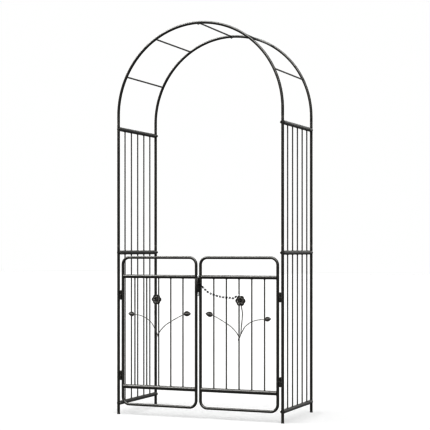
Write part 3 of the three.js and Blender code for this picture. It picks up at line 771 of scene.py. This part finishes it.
# ---------------------------------------------------------------- rose heads
def petal(shape, centre, angle, inner, outer, width, lift_in, lift_out, cup, thick=0.9, tip=0.0, seed=0, wear_rim=1.0, rim_from=0.72):
    """A pressed petal: a thin fan-shaped shell, cupped across, its rim turned forward. Forward is -Y."""
    rnd = random.Random(seed)
    nu, nv = 11, 11
    grid = np.zeros((nu, nv, 3))
    wear = np.zeros((nu, nv))
    wob = [rnd.uniform(-0.35, 0.35) for _ in range(4)]
    for i in range(nu):
        s = i / (nu - 1)
        for j in range(nv):
            t = -1 + 2 * j / (nv - 1)
            edge = 1 - 0.22 * abs(t) ** 3.0 + tip * (1 - abs(t)) ** 2
            rad = inner + (outer * edge - inner) * s
            half = width * (0.35 + 0.65 * math.sin(min(1.0, s * 1.15) * math.pi / 2))
            a = angle + t * half / 1.0
            lift = lift_in + (lift_out - lift_in) * s**1.6 + cup * (t * t) * s - 0.4 * math.sin(s * math.pi) * cup
            curl = 1.6 * max(0.0, s - 0.8) / 0.2
            lift += -curl * 0.55 + wob[0] * math.sin(3 * t + wob[1] * 5) * s
            grid[i, j] = (centre[0] + rad * math.cos(a), -lift, centre[1] + rad * math.sin(a))
            rim = s - 0.12 * abs(t)
            wear[i, j] = wear_rim * min(1.0, max(0.0, (rim - rim_from) / 0.14))
    # offset both faces along the sheet's own normal
    du = np.gradient(grid, axis=0)
    dv = np.gradient(grid, axis=1)
    n = np.cross(du, dv)
    n /= np.maximum(np.linalg.norm(n, axis=2, keepdims=True), 1e-9)
    if n[..., 1].mean() > 0:
        n = -n
    taper = np.ones((nu, nv, 1)) * thick / 2
    front, back = grid + n * taper, grid - n * taper
    pts = np.concatenate([front.reshape(-1, 3), back.reshape(-1, 3)])
    w = np.concatenate([wear.reshape(-1), wear.reshape(-1)])
    faces = []
    m = nu * nv

    def idx(i, j, b=0):
        return b * m + i * nv + j

    for i in range(nu - 1):
        for j in range(nv - 1):
            f = (idx(i, j), idx(i, j + 1), idx(i + 1, j + 1), idx(i + 1, j))
            g = tuple(m + q for q in reversed(f))
            faces += [f, g]
    border = [(0, j) for j in range(nv)] + [(i, nv - 1) for i in range(1, nu)] + [(nu - 1, j) for j in range(nv - 2, -1, -1)] + [(i, 0) for i in range(nu - 2, 0, -1)]
    for p, q in zip(border, border[1:] + border[:1]):
        faces.append((idx(*q), idx(*p), idx(*p, 1), idx(*q, 1)))
    # make the front face point forward
    a, b_, c = pts[faces[0][0]], pts[faces[0][1]], pts[faces[0][2]]
    if np.cross(b_ - a, c - b_)[1] > 0:
        faces = [tuple(reversed(f)) for f in faces]
    pts = pts + vec(0, FRONT_Y, 0)
    return shape.add(pts, faces, w)


def rose(side, sx):
    cx, cz = sx * ROSE[0], ROSE[1]
    s = Shape()
    # backing cup that the petals are riveted to
    s.lathe([(0, 0), (8.5, 0), (10, 0.8), (12.5, 2.6), (11.6, 3.4), (0, 3.0)], (cx, FRONT_Y, cz), (0, -1, 0), 36, wear=[0, 0, 0.3, 0.4, 0.2, 0])
    for k in range(6):
        a = math.radians(60 * k)
        petal(s, (cx, cz), a, 6, 27.4, 0.62, 1.2 + 0.9 * (k % 2), 3.2 + 0.9 * (k % 2), 1.0, tip=0.05, seed=k, wear_rim=0.04)
    # Second ring: rims rubbed lighter, less so on petals pointing left and a little down, a painted shade on the side
    # where the key light falls.
    for k in range(5):
        a = math.radians(72 * k + 24)
        petal(s, (cx, cz), a, 4.5, 19.4, 0.72, 3.4 + 0.35 * (k % 2), 7.4 + 0.5 * (k % 2), 1.6, thick=0.8, seed=20 + k, wear_rim=0.98 - 0.5 * max(0.0, math.cos(a - 3.5)), rim_from=0.62)
    for k in range(4):
        a = math.radians(90 * k + 60)
        petal(s, (cx, cz), a, 3.0, 12.6, 0.9, 5.4 + 0.3 * (k % 2), 10.2 + 0.4 * (k % 2), 1.6, thick=0.8, seed=40 + k, wear_rim=0.4)
    # bud: a strip of sheet rolled into a spiral
    turns, n = 2.4, 70
    pts_low, pts_high = [], []
    for i in range(n + 1):
        f = i / n
        t = f * turns * 2 * math.pi
        r = 1.1 + 5.4 * f
        pts_low.append((cx + r * math.cos(t), FRONT_Y - 4.5, cz + r * math.sin(t)))
        pts_high.append((cx + r * 0.94 * math.cos(t), FRONT_Y - 12.2 + 2.6 * f**1.5, cz + r * 0.94 * math.sin(t)))
    low, high = np.array(pts_low), np.array(pts_high)
    radial = low - vec(cx, FRONT_Y - 4.5, cz)
    radial /= np.linalg.norm(radial, axis=1, keepdims=True)
    th = 0.42
    rings = np.stack([low - radial * th, high - radial * th * 0.8, high + radial * th * 0.8, low + radial * th], 1)
    vol = np.cross(rings[0][1] - rings[0][0], rings[0][2] - rings[0][1]) @ (low[1] - low[0])
    if vol < 0:
        rings = rings[:, ::-1]
    s.rings(rings, np.full(n + 1, 0.45))
    return s.build(f"rose_head_{side}", f"gate_{side}", LEAF, [f"rose_{side}"], "ornament_metal", angle=50)


for side, sx in SIDES:
    rose(side, sx)


# ---------------------------------------------------------------- sprays
def spline(points, n):
    """Catmull-Rom through points."""
    p = np.asarray(points, float)
    p = np.concatenate([[2 * p[0] - p[1]], p, [2 * p[-1] - p[-2]]])
    out = []
    spans = len(p) - 3
    for i in range(n + 1):
        t = i / n * spans
        k = min(int(t), spans - 1)
        f = t - k
        a, b, c, d = p[k : k + 4]
        out.append(0.5 * ((2 * b) + (-a + c) * f + (2 * a - 5 * b + 4 * c - d) * f**2 + (-a + 3 * b - 3 * c + d) * f**3))
    return np.array(out)


def pressed_leaf(shape, centre, turn, long, wide, back, sx, seed=0):
    """A leaf stamped from sheet: pointed at both ends, a raised midrib, side veins pressed in, edge finely toothed."""
    nu, nv = 33, 17
    rnd = random.Random(seed)
    grid = np.zeros((nu, nv, 3))
    wear = np.zeros((nu, nv))
    c, s_ = math.cos(turn), math.sin(turn)
    for i in range(nu):
        u = i / (nu - 1)
        half = wide / 2 * (math.sin(math.pi * u**0.82) ** 0.72 if 0 < u < 1 else 0.0)
        half *= 1 + 0.03 * (1 if i % 2 else -1)
        half = max(half, 0.35)
        for j in range(nv):
            v = -1 + 2 * j / (nv - 1)
            px, pz = (u - 0.5) * long, v * half
            rise = 1.5 * (1 - abs(v)) ** 1.5 * math.sin(math.pi * u) ** 0.5 if 0 < u < 1 else 0.0
            rise += 1.3 * math.exp(-((v * half) / 0.8) ** 2)
            vein = math.sin(2 * math.pi * (u * 5.5 - abs(v) * 0.9))
            rise += 0.38 * vein * (1 - abs(v)) * min(1.0, half / 3)
            rise += 0.9 * (2 * u - 1) ** 2
            grid[i, j] = (centre[0] + c * px - s_ * pz, back - 0.5 - rise, centre[1] + s_ * px + c * pz)
            # The rub value is highest along the raised middle and the vein ridges, which makes them lighter: a painted
            # highlight on the raised parts.
            middle = math.exp(-((v * half) / 4.6) ** 2) * max(0.0, 1 - ((2 * u - 1) / 0.72) ** 4)
            wear[i, j] = 0.45 * min(1.0, middle * (0.62 + 0.38 * max(0.0, vein)) + 0.35 * math.exp(-((v * half) / 0.9) ** 2) * middle)
    pts = np.concatenate([grid.reshape(-1, 3), (grid + vec(0, 1.0, 0)).reshape(-1, 3)])
    w = np.concatenate([wear.reshape(-1)] * 2)
    m = nu * nv
    faces = []
    for i in range(nu - 1):
        for j in range(nv - 1):
            f = (i * nv + j, i * nv + j + 1, (i + 1) * nv + j + 1, (i + 1) * nv + j)
            faces += [f, tuple(m + q for q in reversed(f))]
    border = [(0, j) for j in range(nv)] + [(i, nv - 1) for i in range(1, nu)] + [(nu - 1, j) for j in range(nv - 2, -1, -1)] + [(i, 0) for i in range(nu - 2, 0, -1)]
    for p, q in zip(border, border[1:] + border[:1]):
        a, b = p[0] * nv + p[1], q[0] * nv + q[1]
        faces.append((b, a, m + a, m + b))
    a, b, c3 = pts[faces[0][0]], pts[faces[0][1]], pts[faces[0][2]]
    if np.cross(b - a, c3 - b)[1] > 0:
        faces = [tuple(reversed(f)) for f in faces]
    return shape.add(pts, faces, w)


for side, sx in SIDES:
    stem_y = FRONT_Y - 2.05
    outer_z = 558.3 if side == "right" else 570.4
    rise = outer_z - 558.3
    stems = (
        ([(239, 438.7), (253.5, 472.3), (258, 515), (264.4, 583), (259, 617), (255.6, 634)], 44, 2.0, 1.9),
        ([(247, 457), (262, 487), (282, 517 + rise * 0.3), (318, 542 + rise * 0.6), (357, 553 + rise * 0.9), (398, outer_z - 1.5)], 40, 1.9, 1.45),
        ([(246, 455), (228, 482), (196, 513), (150, 541), (108, 563), (80, 575)], 40, 1.9, 1.45),
    )
    s = Shape()
    for pts, n, r0, r1 in stems:
        path = spline([(sx * px, stem_y, pz) for px, pz in pts], n)
        f = np.linspace(0, 1, len(path))
        radius = r0 + (r1 - r0) * f
        radius *= 1 + 0.035 * np.sin(np.arange(len(path)) * 2.1)
        radius[0] *= 0.8
        radius[-1] *= 0.75
        s.tube(path, radius, 14, wear=0.18 + 0.1 * np.sin(np.arange(len(path)) * 0.9))
    pressed_leaf(s, (67.5 if sx > 0 else -65.5, 577.9), (math.pi - 0.18) if sx > 0 else 0.02, 42, 27, FRONT_Y, sx, 1)
    pressed_leaf(s, (sx * 410.3, outer_z), 0.12 if sx > 0 else math.pi - 0.12, 36, 24, FRONT_Y, sx, 2)
    # joints: stems brazed to each other at the fork, and to the bars they cross
    for px, pz, r in ((246, 456, 3.0), (242.0, 447.0, 2.9), (316.5, 541.3 + rise * 0.6, 2.6), (390.5, outer_z - 2.4, 2.4), (167.5, 530.4, 2.6), (93, 569.6, 2.4)):
        s.lathe(
            [(0, 2.2), (r * 0.8, 2.2), (r * 1.05, 1.0), (r, -0.8), (r * 0.8, -2.4), (r * 0.4, -3.4), (0, -3.7)],
            (sx * px, FRONT_Y - 0.6, pz), (0, 1, 0), 18, wear=[0, 0, 0.1, 0.2, 0.2, 0.2, 0.2],
        )
    s.build(f"spray_wires_{side}", f"gate_{side}", LEAF, [f"spray_{side}"], "ornament_metal", angle=46)


# ---------------------------------------------------------------- latch
def slotted_sleeve():
    """A tube with a slot from its top down to the stud, cut towards the front right, and a flat cheek welded on."""
    s = Shape()
    outer, inner = 5.7, 4.85
    half = math.asin(2.3 / outer)
    slot_low = STUD_Z - 2 - 0.3
    centre = math.radians(-45)
    # closed part below the slot
    n = 56
    a = np.linspace(0, 2 * math.pi, n, endpoint=False)

    def ring(r, z):
        return np.stack([r * np.cos(a), -PLANE_Y + r * np.sin(a), np.full(n, z)], 1)

    rings = [ring(inner + 0.12, LATCH_LOW), ring(outer - 0.35, LATCH_LOW), ring(outer, LATCH_LOW + 0.4), ring(outer, slot_low), ring(inner, slot_low), ring(inner, LATCH_LOW + 0.4)]
    s.rings(rings, [0.8, 0.9, 0.8, 0.1, 0, 0], closed=True)
    # open part: an arc of wall from slot edge to slot edge
    start, stop = centre + half, centre + 2 * math.pi - half
    arcs = np.linspace(start, stop, 46)
    path_out = [(outer, 0.5), (outer, 0.5)]
    section = []
    for z0, z1 in ((slot_low - 0.6, LATCH_TOP),):
        rings = []
        w = []
        for i, t in enumerate(arcs):
            c, d = math.cos(t), math.sin(t)
            q = 0.3
            corners = [(inner, z0), (inner, z1 - q), (inner + q, z1), (outer - q, z1), (outer, z1 - q), (outer, z0)]
            rings.append([(r * c, -PLANE_Y + r * d, z) for r, z in corners])
            w.append(1.0 if i in (0, len(arcs) - 1) else 0.25)
        rings = np.array(rings)
        if np.cross(rings[0][1] - rings[0][0], rings[0][2] - rings[0][1]) @ (rings[1].mean(0) - rings[0].mean(0)) < 0:
            rings = rings[:, ::-1]
        s.rings(rings, w)
    # cheek plate on the left of the sleeve, in front
    s.box((-5.6, -PLANE_Y - 12.5, LATCH_LOW), (-3.2, -PLANE_Y - 3.4, LATCH_TOP), 0.5, wear=0.7)
    s.box((-4.4, -PLANE_Y - 12.5, LATCH_LOW), (0.9, -PLANE_Y - 5.6, LATCH_TOP), 0.6, wear=0.7)
    # bridges that carry the sleeve on the stile, top and bottom, with their beads
    for z0, z1 in ((703.0, 716.0), (757.0, 770.0)):
        s.box((4.6, -PLANE_Y - 1.2, z0), (8.2, -PLANE_Y + 3.2, z1), 0.4, wear=0.3)
        for dy in (-1.6, 3.4):
            bead(s, [(6.4, -PLANE_Y + dy, z) for z in np.linspace(z0 + 0.5, z1 - 0.5, 8)], 1.1, seed=int(z0 + dy))
    # The sleeve takes the darker copy of the coat: painted shade.
    return s.build("latch_tube", "gate_right", SHADE_PAINTED_COAT, ["latch_sleeve"])


slotted_sleeve()

k = Shape()
k.box((-13.6, -PLANE_Y - 12.5, LATCH_LOW + 2), (-7.0, -PLANE_Y - FRAME_R + 0.9, LATCH_TOP - 2), 0.7, wear=0.8)
for x in (-13.9, -7.4):
    for z0, z1 in ((706, 724), (753, 771)):
        bead(k, [(x, -PLANE_Y - FRAME_R + (0.2 if x < -10 else 0.9), z) for z in np.linspace(z0, z1, 12)], 1.3, seed=int(z0 + x))
# The keeper takes the darker copy of the coat too: painted shade.
k.build("latch_strike", "gate_left", SHADE_PAINTED_COAT, ["latch_keeper"])

# Drop pin: chamfered ends, stud and eye through the slot.
p = Shape()
# Where the pin sits in the sleeve its rub value is 1, which darkens the zinc: painted shade inside the sleeve and
# behind the slot.
p.lathe(
    [(0, PIN_LOW), (2.2, PIN_LOW), (3.5, PIN_LOW + 0.7), (4.3, PIN_LOW + 1.9), (4.4, PIN_LOW + 2.6), (4.4, PIN_LOW + 3.2), (4.4, PIN_LOW + 10), (4.4, 702), (4.4, 712), (4.4, 740), (4.4, PIN_TOP - 20), (4.4, PIN_TOP - 14), (4.4, PIN_TOP - 8), (4.4, PIN_TOP - 2.0), (4.4, PIN_TOP - 1.5), (3.9, PIN_TOP - 0.4), (2.9, PIN_TOP), (0, PIN_TOP)],
    (0, -PLANE_Y, 0), seg=36, wear=[0, 0, 0, 0, 0, 0, 0, 0.1, 1, 1, 1, 0.5, 0, 0, 0, 0, 0, 0],
)
c45 = math.sqrt(0.5)
stud_a = vec(3.0 * c45, -PLANE_Y - 3.0 * c45, STUD_Z)
stud_b = vec(14.2 * c45, -PLANE_Y - 14.2 * c45, STUD_Z)
p.build("drop_pin", "latch_pin", ZINC, ["latch_pin"], "zinc_plate")
# The stud and its eye take the dark copy of the chain finish: painted shade, so the stud shows no spot of light in the
# slot.
e = Shape()
e.tube([stud_a, stud_a + (stud_b - stud_a) * 0.5, stud_b], [2.0, 2.0, 1.7], 20)
eye = vec(17.2 * c45, -PLANE_Y - 17.2 * c45, STUD_Z)
e.torus(eye, (0, 0, 1), 3.6, 1.2, 36, 14)
e.build("drop_pin_eye", "latch_pin", CHAIN_PAINTED_SHADE, slot="chain_metal")


# ---------------------------------------------------------------- chain
def link(shape, centre, along, across, long, wide, wire, wear=0.0):
    """One oval link: long is its outer length along, wide its outer width across."""
    d, u = unit(along), unit(across)
    u = unit(u - d * (u @ d))
    r = wide / 2 - wire
    half = long / 2 - wire - r
    path = []
    for a in np.linspace(-math.pi / 2, math.pi / 2, 9):
        path.append(d * (half + r * math.cos(a)) + u * (r * math.sin(a)))
    for a in np.linspace(math.pi / 2, 3 * math.pi / 2, 9):
        path.append(d * (-half + r * math.cos(a)) + u * (r * math.sin(a)))
    path = np.asarray(centre, float) + np.array(path)
    return shape.tube(path, wire, 10, closed=True, wear=np.full(len(path), wear))


CHAIN = np.array([
    (17.0, -257.6, 741.6), (22.6, -258.8, 736.8), (31, -258.9, 728.6), (45, -258.6, 714.9), (60, -258, 702.0), (75, -257.4, 693.4),
    (89, -256.8, 687.6), (108, -256, 682.0), (126, -255, 677.6), (147, -254, 673.4), (169, -253.4, 671.3),
    (187, -253.1, 670.9), (202, -253.0, 668.4), (211, -252.8, 667.2), (219, -252.4, 671.4), (226, -251.6, 676.9), (231, -250.8, 680.4), (236.9, -249.6, 683.6),
])
route = spline(CHAIN, 400)
seg = np.linalg.norm(np.diff(route, axis=0), axis=1)
at = np.concatenate([[0], np.cumsum(seg)])
LINKS = 26
pitch = at[-1] / LINKS
links_by_painted_tone = {"dark": Shape(), "light": Shape()}
rnd = random.Random(3)
for i in range(LINKS):
    s0, s1 = i * pitch, (i + 1) * pitch
    a = vec(*[np.interp(s0, at, route[:, q]) for q in range(3)])
    b = vec(*[np.interp(s1, at, route[:, q]) for q in range(3)])
    d = unit(b - a)
    side_v = unit(np.cross(d, vec(0, 1, 0)))
    # Face-on links, and the second link, get the dark copy and edge-on links the light copy: painted shade and painted
    # light for how light falls on them; the real chain has one finish.
    face = i % 2 == 0
    dark = face or i == 1
    # The last links turn a little each, so that the end one hooks round the ring.
    tilt = math.radians((0 if face else 90) + 30 * max(0, i - 22) + rnd.uniform(-9, 9))
    across = side_v * math.cos(tilt) + np.cross(d, side_v) * math.sin(tilt)
    wire = (1.8 if i < 8 else 1.55) if face and i >= 2 else (1.0 if i < 2 else 1.15)
    link(links_by_painted_tone["dark" if dark else "light"], (a + b) / 2, d, across, pitch + 2.5 + 2 * wire, 8.8 if face and i >= 2 else (6.2 if i < 2 else 6.8), wire)
for tone, s in links_by_painted_tone.items():
    piece = s.build(f"chain_links_painted_{tone}", "gate_right", CHAIN_PAINTED_SHADE if tone == "dark" else CHAIN_PAINTED_LIGHT, slot="chain_metal", rides=False)
    if tone == "dark":
        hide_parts("latch_chain")
    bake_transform(piece)

r = Shape().torus((242, -PLANE_Y, 687), (0, 0, 1), 5.1, 1.3, 36, 14)
r.build("chain_tie_ring", "gate_right", CHAIN_PAINTED_LIGHT, ["chain_ring"], "chain_metal")


# ---------------------------------------------------------------- floor, backdrop, light, camera
def plain(name, colour, strength=None):
    m, tree, shader = new_material(name)
    if strength is None:
        at = coords_of(tree)
        tone = noise(tree, at, 1.3, 3.0, 0.5)
        tree.links.new(mix(tree, tone, colour, tuple(c * 0.99 for c in colour)), shader.inputs["Base Color"])
        shader.inputs["Roughness"].default_value = 0.95
        shader.inputs["Specular IOR Level"].default_value = 0.0
    else:
        shader.inputs["Base Color"].default_value = (0, 0, 0, 1)
        shader.inputs["Specular IOR Level"].default_value = 0.0
        shader.inputs["Emission Color"].default_value = (*colour, 1)
        shader.inputs["Emission Strength"].default_value = strength
    return m


R = 38.0
mesh = bpy.data.meshes.new("floor")
mesh.from_pydata([(-R, -R, 0), (R, -R, 0), (R, R, 0), (-R, R, 0)], [], [(0, 1, 2, 3)])
floor = bpy.data.objects.new("floor", mesh)
sweep = plain("floor", (FLOOR_TONE,) * 3)
lit = next(n for n in sweep.node_tree.nodes if n.type == "BSDF_PRINCIPLED")
lit.inputs["Emission Color"].default_value = (1, 1, 1, 1)
lit.inputs["Emission Strength"].default_value = FLOOR_GLOW
mesh.materials.append(sweep)
scene.collection.objects.link(floor)

# A white wall all round, seen by the camera only, so that it adds no light.
wall = Shape()
rings = []
for k in range(1, 24):
    a = math.pi * k / 24
    rings.append([(52e3 * math.sin(a) * math.cos(t), 52e3 * math.sin(a) * math.sin(t), -52e3 * math.cos(a)) for t in np.linspace(0, 2 * math.pi, 48, endpoint=False)])
wall.rings(rings)
backdrop = wall.build("backdrop", None, plain("backdrop", (1.0, 1.0, 1.0), 1.0), slot=None, rides=False)
backdrop.visible_diffuse = False
backdrop.visible_glossy = False
backdrop.visible_transmission = False
backdrop.visible_volume_scatter = False
backdrop.visible_shadow = False

# Light: a large soft box overhead in front, a pale wall behind, a small key on the left
# that throws the shadows to the right, and a faint low strip on either side. The floor is a
# lit panel too, which keeps the shadows on it pale.
world = bpy.data.worlds.new("studio")
scene.world = world
world.use_nodes = True
wt = world.node_tree
wt.nodes.clear()
out = wt.nodes.new("ShaderNodeOutputWorld")
back = wt.nodes.new("ShaderNodeBackground")
way = wt.nodes.new("ShaderNodeTexCoord").outputs["Generated"]


def lobe(direction, wide, core, strength):
    """A soft-edged round patch of light, core and wide its inner and outer half-angles in degrees."""
    d = unit(direction)
    dot = wt.nodes.new("ShaderNodeVectorMath")
    dot.operation = "DOT_PRODUCT"
    wt.links.new(way, dot.inputs[0])
    dot.inputs[1].default_value = tuple(d)
    m = wt.nodes.new("ShaderNodeMapRange")
    m.interpolation_type = "SMOOTHSTEP"
    m.inputs["From Min"].default_value = math.cos(math.radians(wide))
    m.inputs["From Max"].default_value = math.cos(math.radians(core))
    m.inputs["To Min"].default_value = 0.0
    m.inputs["To Max"].default_value = strength
    wt.links.new(dot.outputs["Value"], m.inputs["Value"])
    return m.outputs["Result"]


def total(a, b):
    m = wt.nodes.new("ShaderNodeMath")
    m.operation = "ADD"
    for i, x in enumerate((a, b)):
        if isinstance(x, (int, float)):
            m.inputs[i].default_value = x
        else:
            wt.links.new(x, m.inputs[i])
    return m.outputs[0]


light = total(lobe((0.12, -0.52, 0.85), 52, 26, BOX), HORIZON)
light = total(light, lobe((0.0, 1.0, 0.12), 62, 30, WALL))
light = total(light, lobe((-0.93, -0.36, 0.90), 18, 6, KEY))
light = total(light, lobe((0.80, 0.60, 0.10), 34, 10, STRIP * 0.5))
light = total(light, lobe((-0.95, -0.30, 0.12), 34, 12, STRIP))
wt.links.new(light, back.inputs["Strength"])
back.inputs["Color"].default_value = (1.0, 1.0, 1.0, 1.0)
wt.links.new(back.outputs[0], out.inputs[0])

camera = bpy.data.cameras.new("camera")
camera.sensor_width = 36.0
camera.sensor_fit = "HORIZONTAL"
camera.lens = 1237.0 / 430.0 * 36.0
camera.shift_x = -(213.16 - 215.0) / 430.0
camera.shift_y = (249.55 - 215.0) / 430.0
camera.clip_start, camera.clip_end = 0.05, 120.0
cam = bpy.data.objects.new("camera", camera)
cam.location = (2.722, -6.521 + Y_SHIFT * 0.001, 0.934)
cam.rotation_euler = (math.radians(90), 0, math.radians(22.76))
scene.collection.objects.link(cam)
scene.camera = cam

scene.view_settings.view_transform = "Standard"
scene.view_settings.look = "None"
scene.view_settings.exposure = 0.0
scene.view_settings.gamma = VIEW_GAMMA
